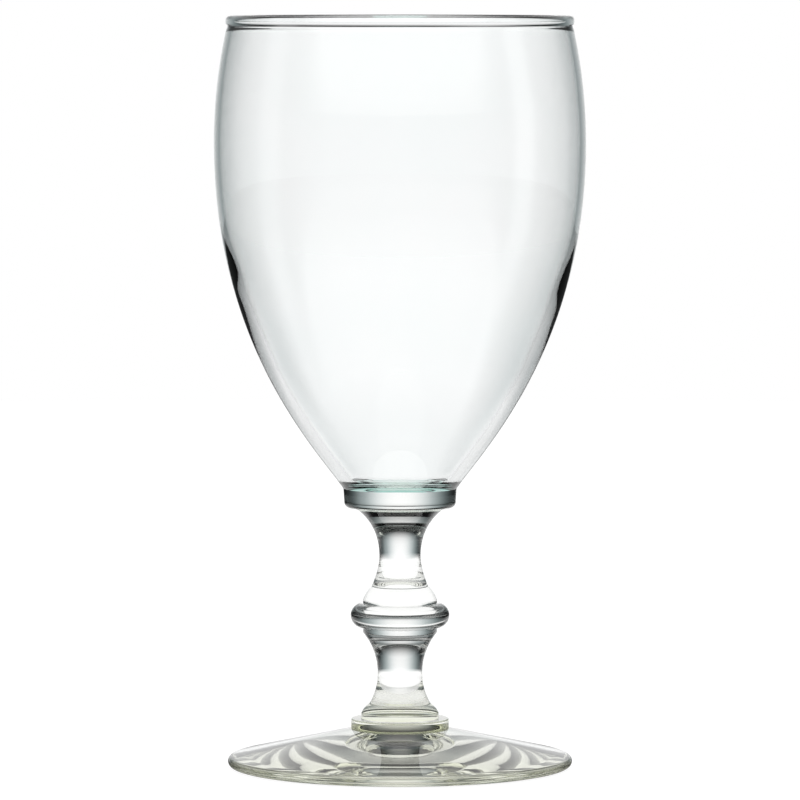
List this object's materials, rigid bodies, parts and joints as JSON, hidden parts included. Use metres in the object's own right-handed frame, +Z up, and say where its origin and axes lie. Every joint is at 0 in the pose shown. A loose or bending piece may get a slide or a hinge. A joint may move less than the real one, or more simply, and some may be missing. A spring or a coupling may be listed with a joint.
{
  "type": "red wine glass",
  "caption": "Stemmed drinking glass with a tall tulip bowl, a waisted stem with a ringed knop held between glass collars, and a wide sloping foot.",
  "frame": {"origin": "middle of the ring that the foot stands on, at table level", "axes": "+Z up along the axis of the bowl, stem and foot; X and Y are any two level directions"},
  "size_m": [0.082, 0.082, 0.1659],
  "materials": {
    "blown_glass": "clear blown glass with a faint cool tint, fire-polished",
    "pressed_glass": "clear pressed glass with a faint warm tint, fire-polished"
  },
  "bodies": {
    "root": {"foot": "pressed_glass", "foot_collar": "pressed_glass", "stem": "pressed_glass", "bowl_collar": "pressed_glass", "bowl": "blown_glass"}
  },
  "joints": []
}
